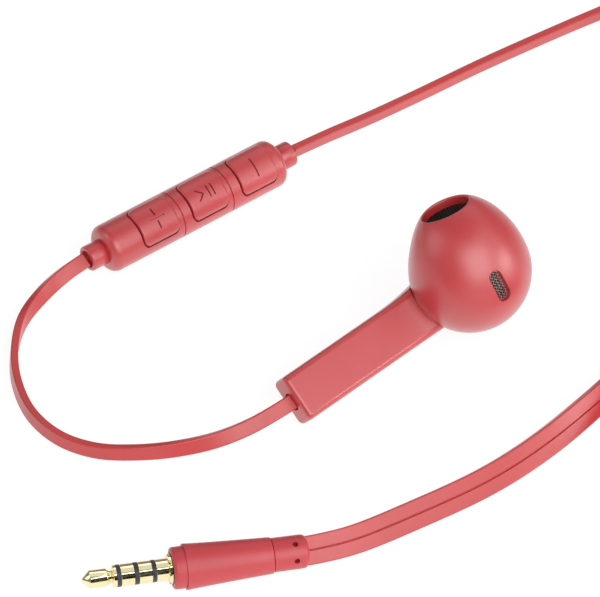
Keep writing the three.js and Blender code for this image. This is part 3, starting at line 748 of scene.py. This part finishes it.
def weave(inside, cloth, reach):
    """Two sets of wires woven over and under at a slant, clipped to where inside(u, v) is true."""
    shape = Shape()
    pitch, wire = cloth["pitch"], cloth["wire"]
    rows = int(reach / pitch) + 1
    per_pitch = 4
    sides = 5
    for way in (0, 1):
        for row in range(-rows, rows + 1):
            rings = []
            for step in range(-rows * per_pitch, rows * per_pitch + 1):
                s = step * pitch / per_pitch
                across = row * pitch
                a, b = (s, across) if way == 0 else (across, s)
                u, v = (a - b) * sqrt(0.5), (a + b) * sqrt(0.5)
                if not inside(u, v):
                    continue
                sign = 1 if (row + way) % 2 == 0 else -1
                n = sign * wire * 0.5 * cos(pi * s / pitch)
                ring = []
                for angle in circle_points(sides):
                    off = wire / 2 * cos(angle) * sqrt(0.5)
                    ring.append((u - off if way == 0 else u + off, v + off, n + wire / 2 * sin(angle)))
                rings.append(ring)
            if len(rings) > 1:
                shape.merged(grid(rings))
    return shape


def nozzle_mesh_shape():
    reach = NOZZLE_OPENING - 0.05
    long, short = NOZZLE["long"] + reach, NOZZLE["short"] + reach
    woven = weave(lambda u, v: (u / long) ** 2 + (v / short) ** 2 < 1, NOZZLE_WEAVE, long)
    lay = shift(0, HEAD["rim"] - NOZZLE["depth"] + 0.18) @ turn("X", -90)
    return lean_nozzle(woven.moved(lay))


def nozzle_felt_shape():
    long, short = NOZZLE["long"] - 0.7, NOZZLE["short"] - 0.7
    level = HEAD["rim"] - NOZZLE["depth"]
    rings = [(level - 0.9, 0), (level - 0.4, 0), (level - 0.35, -0.1)]
    return lean_nozzle(grid([oval(y, long + grow, short + grow, 64) for y, grow in rings]))


def vent_mesh_shape():
    half_width, half_length = VENT["width"] / 2 - 0.05, VENT["length"] / 2 - 0.05

    def inside(u, v):
        run = half_length - half_width
        return hypot(u, max(0, abs(v) - run)) < half_width

    woven = weave(inside, VENT_WEAVE, half_length)
    level = HEAD["radius"] - VENT["depth"]
    return woven.moved(VENT_IN_HEAD @ shift(0, 0, level + 0.16))


def vent_felt_shape():
    level = HEAD["radius"] - VENT["depth"]
    margin = 2 * VENT["ledge"] + 0.1
    return rounded_plate(
        VENT["width"] - margin, VENT["length"] - margin, VENT["width"] / 2 - margin / 2 - 0.02,
        level - 0.9, level - 0.45, steps=10,
    ).moved(VENT_IN_HEAD)


earbud_shapes = [
    ("head", head_shape().moved(HEAD_IN_EARBUD), coral, "coral_plastic", "head_shell"),
    ("stem", stem_shape(), coral_glossy, "coral_plastic", "stem_shell"),
    ("stem_gland", gland_shape(), dark_rubber, "dark_rubber", "cable_gland"),
    ("nozzle_weave", nozzle_mesh_shape().moved(HEAD_IN_EARBUD), dark_steel, "steel_mesh", "nozzle_mesh"),
    ("nozzle_felt", nozzle_felt_shape().moved(HEAD_IN_EARBUD), foam, "foam", None),
    ("vent_weave", vent_mesh_shape().moved(HEAD_IN_EARBUD), bright_steel, "steel_mesh", "vent_mesh"),
    ("vent_felt", vent_felt_shape().moved(HEAD_IN_EARBUD), foam, "foam", None),
]
for side in ("right", "left"):
    for label, shape, material, slot_name, node in earbud_shapes:
        make(
            f"{side}_{label}", shape, earbud_place(side), material, slot_name,
            replaces=[f"{side}_{node}"] if node else (), mirrored=side == "left",
        )

# ------ remote

QUARTER_STEPS = 10


def remote_profile():
    """The shell's wall as a closed outline, [x, radius]: rounded ends, two fine grooves, the hollow."""
    half, radius, edge = REMOTE["length"] / 2, REMOTE["radius"], REMOTE["edge"]
    outer = arc((-half + edge, radius - edge), edge, 180, 90, QUARTER_STEPS)
    for at in GROOVES["at"]:
        w, d = GROOVES["width"] / 2, GROOVES["depth"]
        wall = [(0.6, 0), (w + 0.06, 0), (w + 0.03, 0), (w, 0.03), (w * 0.8, d)]
        outer += [(at - x, radius - down) for x, down in wall]
        outer += [(at + x, radius - down) for x, down in reversed(wall)]
    outer += arc((half - edge, radius - edge), edge, 90, 0, QUARTER_STEPS)
    inner = half - REMOTE["end_wall"]
    bore, end_bore = REMOTE["bore"], REMOTE["end_bore"]
    hollow = [(half, end_bore), (inner, end_bore), (inner, bore)]
    return outer + hollow + [(-x, r) for x, r in reversed(hollow)]


def remote_half(up):
    """Half of the revolved wall, closed by the flat faces where the two halves meet."""
    profile = remote_profile()
    seam = 0.15
    steps = 80
    rings = []
    for i in range(steps + 1):
        a = rad(seam + (180 - 2 * seam) * i / steps)
        rings.append([(x, up * r * cos(a), up * r * sin(a)) for x, r in profile])
    return grid(rings)


def button_centre(i):
    return BUTTON["first"] + i * BUTTON["pitch"]


def button_shape(i):
    """A cap that follows the barrel, with rounded shoulders and its sign cut into the top."""
    length, half, corner = BUTTON["length"], BUTTON["half"], BUTTON["corner"]
    radius = REMOTE["radius"] + BUTTON["proud"]
    shoulder = 0.32

    def level(y, inset):
        drop = 0.0
        if inset < shoulder:
            drop = shoulder - sqrt(max(0.0, shoulder**2 - (shoulder - inset) ** 2))
        return sqrt(max(radius**2 - y * y, 0)) - drop

    insets = [0, 0.01, 0.03, 0.06, 0.1, 0.16, 0.23, 0.32, 0.45, 0.6, 0.8]
    insets += [1 + 0.2 * k for k in range(11)] + [3.15, 3.28]
    rings = [[(x, y, BUTTON["low"]) for x, y in bar_outline(length, 2 * half, corner, 8, 11)]]
    for inset in insets:
        outline = bar_outline(length - 2 * inset, 2 * half - 2 * inset, max(corner - inset, 0.012), 8, 11)
        rings.append([(x, y, level(y, inset)) for x, y in outline])
    cap = grid(rings)
    signs = [sign_stroke(*stroke, radius) for stroke in SIGNS[BUTTON_NAMES[i]]]
    return cut(cap, *signs).moved(shift(button_centre(i) + CAP_SHIFT[0], CAP_SHIFT[1]))


# Strokes as x0, y0, x1, y1, width, depth on the button, x along the barrel and y across it.
SIGNS = {
    "volume_up": [
        (0, 0.45, 0, 1.85, 0.3, 0.16),
        (0, -0.45, 0, -1.85, 0.3, 0.16),
        (-1.35, 0, 1.35, 0, 0.1, 0.03),
        (1.32, 0, 1.55, 0, 0.26, 0.16),
    ],
    "play_pause": [
        (0.55, -1.05, 0.55, 1.05, 0.26, 0.16),
        (1.4, -1.05, 1.4, 1.05, 0.26, 0.16),
        (-1.65, 1.0, -0.5, 0, 0.24, 0.16),
        (-1.65, -1.0, -0.5, 0, 0.24, 0.16),
    ],
    "volume_down": [(0, -1.72, 0, 1.72, 0.28, 0.16)],
}


def sign_stroke(x0, y0, x1, y1, width, depth, radius):
    """A groove tool that follows the cap's curve between two points of the button."""
    steps = 10
    length = hypot(x1 - x0, y1 - y0)
    ax, ay = (x1 - x0) / length, (y1 - y0) / length
    above, half_way = 0.5, -depth * 0.5
    section = ((-1, above), (-1, half_way), (-0.4, -depth), (0.4, -depth), (1, half_way), (1, above))
    rings = []
    for i in range(steps + 1):
        t = i / steps
        taper = 0.55 if i in (0, steps) else 1
        x, y = x0 + (x1 - x0) * t, y0 + (y1 - y0) * t
        w = width / 2 * taper
        ring = []
        for side, rise in section:
            off = side * w
            px, py = x - ay * off, y + ax * off
            ring.append((px, py, sqrt(radius**2 - py * py) + rise))
        rings.append(ring)
    return grid(rings, kind=1)


def remote_upper():
    shell = remote_half(1)
    holes = []
    for i in range(len(BUTTON_NAMES)):
        clear = 2 * BUTTON_GAP
        hole = rounded_plate(
            BUTTON["length"] + clear, 2 * BUTTON["half"] + clear, BUTTON["corner"] + BUTTON_GAP,
            BUTTON["low"] - 0.5, REMOTE["radius"] + 1, steps=8,
        )
        holes.append(hole.moved(shift(button_centre(i))))
    return cut(shell, *holes)


def collar_profile():
    """The cable's collar, [x, radius] from the remote's end outwards: neck, barrel and open mouth."""
    start = REMOTE["length"] / 2
    radius, end = COLLAR["radius"], start + COLLAR["length"]
    neck, neck_end, face = radius - 0.65, start - 1.2, start + 0.02
    mouth, floor = COLLAR["mouth"], end - COLLAR["depth"]
    outline = [(neck_end, neck), (face, neck), (face, radius - 0.05), (start + 0.1, radius)]
    outline += arc((end - 0.35, radius - 0.35), 0.35, 90, 0, 6)
    outline += arc((end - 0.15, mouth + 0.12), 0.12, 0, -90, 3)
    return outline + [(floor, mouth), (floor - 0.1, 0.3), (neck_end, 0.3)]


for name, shape, node in (
    ("remote_top", remote_upper(), "remote_upper_shell"),
    ("remote_base", remote_half(-1), "remote_lower_shell"),
):
    make(name, shape, REMOTE_PLACE, coral, "coral_plastic", replaces=[node], sharp=40)
for end_name, flip in (("inlet", 180), ("outlet", 0)):
    make(
        f"{end_name}_collar", revolve(collar_profile()).moved(turn("Z", flip)), REMOTE_PLACE, coral,
        "coral_plastic", replaces=[f"remote_{end_name}_collar"], sharp=40,
    )
for i, button_name in enumerate(BUTTON_NAMES):
    make(
        f"cap_{button_name}", button_shape(i), REMOTE_PLACE, [coral, coral_painted_shade], "coral_plastic",
        body=f"button_{button_name}", replaces=[f"button_{button_name}"], sharp=40,
    )

# ------ plug


def plug_band(low, high, radius):
    """One contact or insulating ring of the pin, its outer rims slightly rounded."""
    inner, edge = PIN["bore"], 0.04
    outline = [(low, inner), (low, radius - edge), (low + edge, radius)]
    return revolve(outline + [(high - edge, radius), (high, radius - edge), (high, inner)])


def plug_tip_shape():
    radius, core, shank = PIN["radius"], PIN["core"], PIN["shank"]
    outline = [(-14, 0), (-14, 0.28), (-13.92, 0.42), (-12.95, 1.36), (-12.8, 1.42), (-10.25, 1.42)]
    outline += [(-10.15, 1.38), (-9.78, 0.98), (-9.7, 0.95), (-9.52, 0.95), (-9.46, 1.0), (-9.24, 1.7)]
    outline += [(-9.18, radius), (-8.74, radius), (-8.7, radius - 0.04), (-8.7, core)]
    return revolve(outline + [(shank, core), (shank, 0)])


def plug_sleeve_shape():
    """The sleeve contact with its flange, which has small dark notches round the rim."""
    radius, bore = PIN["radius"], PIN["bore"]
    outline = [
        (-2.5, bore), (-2.5, radius - 0.04), (-2.46, radius), (-0.62, radius), (-0.58, radius + 0.03),
        (-0.55, 2.3), (-0.5, 2.4), (-0.12, 2.4), (-0.08, 1.9), (PIN["shank"], 1.9), (PIN["shank"], bore),
    ]
    sleeve = revolve(outline, 120)
    notches = []
    for k in range(8):
        notch = rounded_plate(0.34, 0.34, 0.08, 1.92, 3, steps=2)
        notches.append(notch.moved(turn("X", 22.5 + 45 * k) @ shift(-0.45)))
    return cut(sleeve, *notches)


def plug_body_shape():
    """The grip: a round collar, then an oval that is proud at its two edges and narrows to the rear."""
    front, across = PLUG_BODY["front"], PLUG_BODY["across"]
    collar_end, grip_end = PLUG_BODY["collar"], PLUG_BODY["grip_end"]
    rings = [(0, 2.5, 2.5), (-0.02, 2.62, 2.62)]
    rings += [(x, front - inset, front - inset) for x, inset in quarter_round(0.5, 6)]
    rings += [(collar_end - 0.06, front, front), (collar_end, front - 0.08, front - 0.09)]
    rings += [(collar_end + 0.02, across - 0.05, front - 0.07), (collar_end + 0.1, across, front)]
    steps = 40
    for k in range(1, steps + 1):
        t = k / steps
        x = collar_end + 0.1 + (grip_end - 0.15 - collar_end - 0.1) * t
        rings.append((x, across - 0.78 * t**0.8, front - 0.62 * t**0.8))
    rings += [(grip_end - 0.04, across - 0.84, front - 0.68), (grip_end, across - 1.1, front - 0.8)]
    rings += [(grip_end, 2.1, 2.1), (0.4, 2.1, 2.1), (0.4, 2.45, 2.45)]
    count = 128
    skins = [[(x, ry * cos(a), rz * sin(a)) for a in circle_points(count)] for x, ry, rz in rings]
    return grid(skins, loop=True)


def strain_relief_shape():
    start, end, rear = PLUG_BODY["grip_end"] + 0.02, PLUG_BODY["end"], PLUG_BODY["rear"]
    outline = [(start, 0), (start, rear - 0.1), (start + 0.1, rear + 0.02)]
    outline += arc((end - 0.9, rear - 0.9), 0.9, 90, 0, 8)
    outline += [(end, 0)]
    solid = revolve(outline, 128)
    tools = []
    for side in (-1, 1):
        tool = revolve([(1.6, 0), (1.6, 0.45), (4, 0.45), (4, 0)], 40).moved(turn("Y", -90))
        tools.append(tool.moved(shift(end - 2.1) @ turn("X", side * 30)))
    return cut(solid, *tools)


plug_pieces = [
    make("jack_tip", plug_tip_shape(), PLUG_PLACE, gold, "gold", replaces=["plug_tip"]),
    make("jack_sleeve", plug_sleeve_shape(), PLUG_PLACE, gold, "gold", replaces=["plug_sleeve"]),
]
PIN_STACK = [
    ("insulator_1", -8.7, -8.05), ("ring_1", -8.05, -5.94), ("insulator_2", -5.94, -5.25),
    ("ring_2", -5.25, -3.15), ("insulator_3", -3.15, -2.5),
]
for band_name, low, high in PIN_STACK:
    is_ring = band_name.startswith("ring")
    band = plug_band(low + 0.01, high - 0.01, PIN["radius"] - (0 if is_ring else 0.01))
    band_finish, band_slot = (gold, "gold") if is_ring else (insulator, "black_plastic")
    plug_pieces.append(
        make(f"jack_{band_name}", band, PLUG_PLACE, band_finish, band_slot, replaces=[f"plug_{band_name}"])
    )
for name, shape, node in (
    ("plug_grip", plug_body_shape(), "plug_body"),
    ("plug_relief", strain_relief_shape(), "plug_strain_relief"),
):
    grip = make(name, shape, PLUG_PLACE, coral_matte, "coral_plastic", replaces=[node], sharp=40)
    plug_pieces.append(grip)

# ------ splitter and ties


def splitter_half(side):
    """Half of the splitter's rounded shell, split down the middle of its width."""
    length, height, thick, edge = (SPLITTER[k] for k in ("length", "height", "thick", "edge"))
    rings = [(y - length / 2, inset) for y, inset in quarter_round(0.7, 5)]
    rings += [(-y, inset) for y, inset in reversed(rings)]
    skins = []
    for y, inset in rings:
        outline = bar_outline(thick - 2 * inset, height - 2 * inset, max(edge - inset * 0.6, 0.3), 6)
        skins.append([(x, y, -z) for x, z in outline])
    shell = grid(skins)
    wall = 2 * SPLITTER["wall"]
    hollow = rounded_plate(thick - wall, length - wall, 0.3, -(height - wall) / 2, (height - wall) / 2)
    seam = 0.02
    keep = rounded_plate(thick, length + 2, 0.02, -height, height).moved(shift(side * (thick / 2 + seam)))
    mouth_in = rounded_plate(1.45, 3, 0.3, -2.35, 2.35).moved(shift(0, -length / 2))
    mouth_out = rounded_plate(1.45, 3, 0.3, -2.65, 2.65).moved(shift(0, length / 2))
    return cut(cut(shell, keep, operation="INTERSECT"), hollow, mouth_in, mouth_out)


for half_name, half_side in (("left", -1), ("right", 1)):
    make(
        f"splitter_{half_name}_half", splitter_half(half_side), SPLITTER_PLACE, coral, "coral_plastic",
        replaces=[f"splitter_{half_name}_shell"], sharp=40,
    )


def tie_shape(coil, cable):
    """A soft strap round the bundle, its end lapped over its top."""
    eye = coil["core"] / 2 - EYE_MARGIN
    _, first, second = coil_arms(coil)
    outer = coil_radius(coil, max(first, second)) + cable["thick"] / 2
    low = coil["core"] / 2 + sqrt(eye**2 - (TIE["width"] / 2) ** 2) - GAP
    high = outer + GAP
    tall = cable["width"] + 2 * GAP + 2 * TIE["thick"]
    wide = high - low + 2 * TIE["thick"]
    half = TIE["width"] / 2
    thick = TIE["thick"]
    outer_line = bar_outline(wide, tall, 0.5, 5)
    inner_line = bar_outline(wide - 2 * thick, tall - 2 * thick, 0.2, 5)
    skins = []
    brim = half - 0.05
    for line, y in ((inner_line, -half), (outer_line, -brim), (outer_line, brim), (inner_line, half)):
        skins.append([(x, y, z + tall / 2) for x, z in line])
    strap = grid(skins, loop=True)
    lap = rounded_plate(3.4, TIE["width"] - 0.5, 0.6, tall - 0.05, tall + 0.25, 0.12)
    return strap.merged(lap.moved(shift(wide * 0.1))), (low + high) / 2


for coil_name, coil in COILS.items():
    coil_cable = DOUBLE_RIBBON if coil_name == "main" else RIBBON
    tie, radius = tie_shape(coil, coil_cable)
    angle = coil_arms(coil)[0] + 180
    middle = Vector(coil_point(coil, angle, radius, 0))
    make(
        f"{coil_name}_tie", tie, placed_at(middle, turn("Z", angle)), black, "black_plastic",
        replaces=[f"{coil_name}_coil_tie"],
    )

# ------ carried-over CAD nodes

INNER_FINISHES = {
    "driver_frame": black, "driver_yoke": steel, "driver_magnet": steel, "voice_coil": copper,
    "diaphragm": film, "damping_pad": foam,
}
node_finishes = {f"{side}_{part}": m for side in ("right", "left") for part, m in INNER_FINISHES.items()}
node_finishes.update({f"switch_{name}": black for name in BUTTON_NAMES})
node_finishes.update({"remote_circuit_board": board, "remote_microphone": steel})
for node_name, finish in node_finishes.items():
    node_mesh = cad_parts[node_name].data
    node_mesh.materials.clear()
    node_mesh.materials.append(finish)

# ------ the remote's pieces, listed by name

remote_pieces = ["remote_top", "remote_base", "inlet_collar", "outlet_collar"]
remote_pieces += [f"cap_{name}" for name in BUTTON_NAMES] + [f"switch_{name}" for name in BUTTON_NAMES]
remote_pieces += ["remote_circuit_board", "remote_microphone"]

# ------ floor and light


def panel(name, half_x, half_y, material):
    """A flat rectangle in its own XY plane, its half sides in metres."""
    mesh = bpy.data.meshes.new(name)
    corners = [(-half_x, -half_y, 0), (half_x, -half_y, 0), (half_x, half_y, 0), (-half_x, half_y, 0)]
    mesh.from_pydata(corners, [], [(0, 1, 2, 3)])
    mesh.materials.append(material)
    return add_object(name, mesh)


floor_nodes = Nodes("pale_floor")
floor_nodes.colours(floor_nodes.span(floor_nodes.noise(40, 2), 0, 1), (0.19, 0.19, 0.19), (0.21, 0.21, 0.21))
floor_nodes.roughness(floor_nodes.noise(20, 2), 0.85, 0.95)
floor_nodes.shader.inputs["Specular IOR Level"].default_value = 0
floor_nodes.shader.inputs["Emission Color"].default_value = (1, 1, 1, 1)
floor_nodes.shader.inputs["Emission Strength"].default_value = 0.88
floor = panel("floor", 3, 3, floor_nodes.material)
floor_drop = 0.0002  # so that it never lies in one plane with a face of the model
floor.location = (0, 0, -floor_drop)

world = bpy.data.worlds.new("studio")
world.use_nodes = True
world.node_tree.nodes["Background"].inputs["Color"].default_value = (1, 1, 1, 1)
world.node_tree.nodes["Background"].inputs["Strength"].default_value = 0.25
bpy.context.scene.world = world
bpy.context.scene.view_settings.view_transform = "Standard"


def softbox(name, azimuth, elevation, distance, size, power):
    """A rectangular area light that looks at the middle of the scene from that direction."""
    data = bpy.data.lights.new(name, "AREA")
    data.shape = "RECTANGLE"
    data.size, data.size_y = size
    data.energy = power
    light = add_object(name, data)
    a, e = rad(azimuth), rad(elevation)
    way = Vector((sin(a) * cos(e), -cos(a) * cos(e), sin(e)))
    light.location = target + distance * way
    light.rotation_euler = way.to_track_quat("Z", "Y").to_euler()
    return light


# Azimuth and elevation in degrees, distance and size in metres, power in watts.
softbox("key", 27, 38, 1.4, (1.2, 1.1), 13)
softbox("right_face", 84, 46, 1.4, (1.1, 1.0), 2.4)
softbox("right_edge", 80, 15, 1.4, (0.6, 0.3), 4.5)
softbox("left_fill", -80, 35, 1.4, (0.7, 0.9), 3)
softbox("back", 170, 50, 1.6, (1.4, 0.5), 2)

# One more light that only the gold pieces take: it whitens the upper side of the pin.
gold_pieces = bpy.data.collections.new("gold_pieces")
for piece in plug_pieces:
    if piece.data.materials[0] is gold:
        gold_pieces.objects.link(piece)
gold_top = softbox("gold_top", 180, 76, 0.5, (0.8, 0.7), 1.0)
gold_top.light_linking.receiver_collection = gold_pieces

# A small black card before the gold pin, which only reflections show: it draws the dark line along the pin.
card_nodes = Nodes("black_card")
card_nodes.colours(card_nodes.noise(50, 2), (0.002, 0.002, 0.002), (0.004, 0.004, 0.004))
card_nodes.shader.inputs["Specular IOR Level"].default_value = 0
card = panel("card", 0.02, 0.012, card_nodes.material)
card_way = Vector((0.363, -0.81, 0.462)).normalized()
pin_middle = PLUG_PLACE @ Vector((-7 * MM, 0, 0))
card.location = pin_middle + 0.026 * card_way
card.rotation_euler = card_way.to_track_quat("Z", "Y").to_euler()
card.visible_camera = False
card.visible_diffuse = False
card.visible_shadow = False
card.visible_transmission = False
